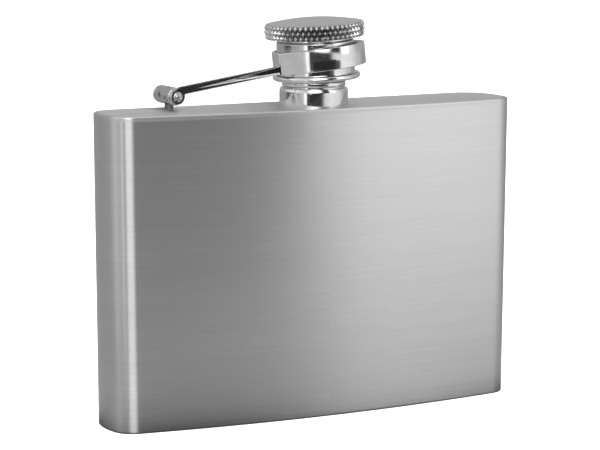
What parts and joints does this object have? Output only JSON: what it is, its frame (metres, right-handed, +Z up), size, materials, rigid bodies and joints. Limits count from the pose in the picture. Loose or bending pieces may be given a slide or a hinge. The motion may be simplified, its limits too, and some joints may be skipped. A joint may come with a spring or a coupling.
{
  "type": "hip flask",
  "caption": "Slim pocket flask of brushed steel with a convex front, collared neck and knurled screw cap held on a hinged strap.",
  "frame": {"origin": "middle of the bottom face, on the plane the flask stands on", "axes": "+Z up through the neck, +X along the width towards the side away from the strap's hinge, +Y through the thickness towards the back; the convex front faces -Y"},
  "size_m": [0.092, 0.0206, 0.0806],
  "materials": {
    "brushed_body": "fine brushing round the body",
    "polished_fittings": "bright polish",
    "satin_cap": "satin top, diamond-knurled rim",
    "gasket": "matt silicone"
  },
  "bodies": {
    "flask": {"body_wall": "brushed_body", "top_plate": "brushed_body", "bottom_plate": "brushed_body", "neck_collar": "polished_fittings", "neck_tube": "polished_fittings", "hinge_barrel": "polished_fittings", "hinge_post": "polished_fittings"},
    "strap_arm": {"strap": "polished_fittings", "hinge_rivet": "polished_fittings", "hinge_washer": "polished_fittings"},
    "screw_cap": {"cap_head": "satin_cap", "cap_sleeve": "polished_fittings", "cap_bead": "polished_fittings", "cap_gasket": "gasket"}
  },
  "joints": [
    {"name": "strap_swing", "type": "hinge", "parent": "flask", "child": "strap_arm", "pos_m": [-0.0308, 0, 0.0659], "axis": [0, -1, 0], "range_deg": [0, 165]},
    {"name": "cap_turn", "type": "hinge", "parent": "strap_arm", "child": "screw_cap", "pos_m": [0.0013, 0, 0.073], "axis": [-0.0523, 0, 0.9986], "continuous": true}
  ]
}
